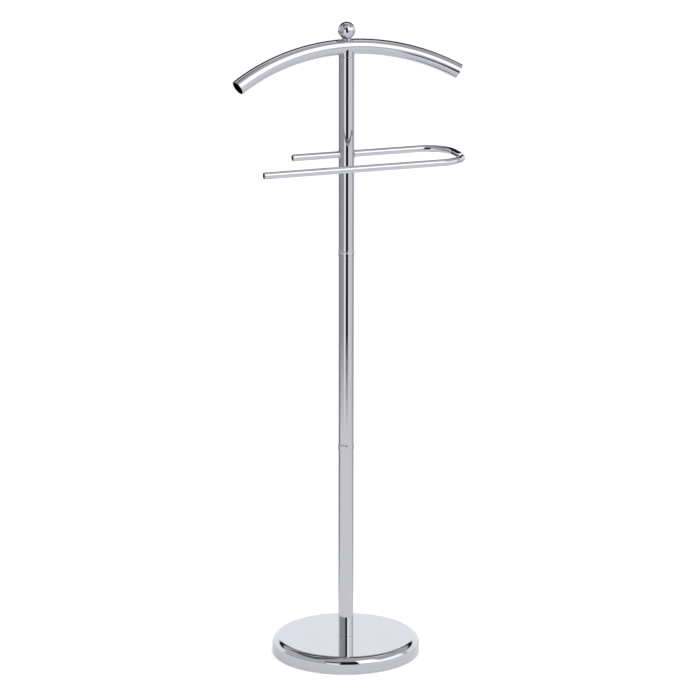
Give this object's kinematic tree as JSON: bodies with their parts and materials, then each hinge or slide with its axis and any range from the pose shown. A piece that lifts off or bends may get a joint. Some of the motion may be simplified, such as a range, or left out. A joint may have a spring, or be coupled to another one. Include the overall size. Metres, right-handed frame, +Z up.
{
  "type": "valet stand",
  "caption": "Chromed valet stand: weighted round base, screwed tube post, U-shaped trouser bar and a bent tube jacket hanger under a ball finial.",
  "frame": {"origin": "on the floor, on the post's axis, under the middle of the round base", "axes": "+Z up the post; X along the hanger and the trouser bar, with the bar's closed end at +X; -Y is the front, where the bar's front leg is"},
  "size_m": [0.4449, 0.28, 1.2152],
  "materials": {
    "chrome_tube": "bright chrome plate over drawn steel tube",
    "chrome_rod": "bright chrome plate over bent steel rod",
    "chrome_sheet": "bright chrome plate over pressed steel sheet",
    "chrome_turned": "bright chrome plate over turned steel",
    "chrome_weld": "chrome plate over a dressed weld fillet",
    "zinc_steel": "bright zinc plate",
    "cement": "cast cement filling, unpainted",
    "black_plate": "black stove enamel",
    "pad_rubber": "matt black rubber"
  },
  "bodies": {
    "stand": {"base_cover": "chrome_sheet", "base_weight": "cement", "base_plate": "black_plate", "base_pads": "pad_rubber", "base_bolt": "zinc_steel", "base_washer": "zinc_steel", "base_lock_washer": "zinc_steel", "lower_tube": "chrome_tube", "lower_foot_plug": "zinc_steel", "lower_top_plug": "zinc_steel", "lower_joint_stud": "zinc_steel", "lower_joint_ring": "chrome_turned", "middle_tube": "chrome_tube", "middle_foot_plug": "zinc_steel", "middle_top_plug": "zinc_steel", "upper_joint_stud": "zinc_steel", "upper_joint_ring": "chrome_turned", "upper_tube": "chrome_tube", "upper_foot_plug": "zinc_steel", "upper_top_plug": "zinc_steel", "trouser_bar": "chrome_rod", "bar_weld_beads": "chrome_weld", "hanger_stud": "zinc_steel"},
    "hanger": {"hanger_saddle": "chrome_turned", "hanger_tube": "chrome_tube", "finial_collar": "chrome_turned"},
    "finial": {"finial_ball": "chrome_turned"}
  },
  "joints": [
    {"name": "hanger_swivel", "type": "hinge", "parent": "stand", "child": "hanger", "pos_m": [0, 0, 1.169], "axis": [0, 0, 1], "continuous": true},
    {"name": "finial_turn", "type": "hinge", "parent": "stand", "child": "finial", "pos_m": [0, 0, 1.192], "axis": [0, 0, 1], "range_deg": [0, 360]}
  ]
}
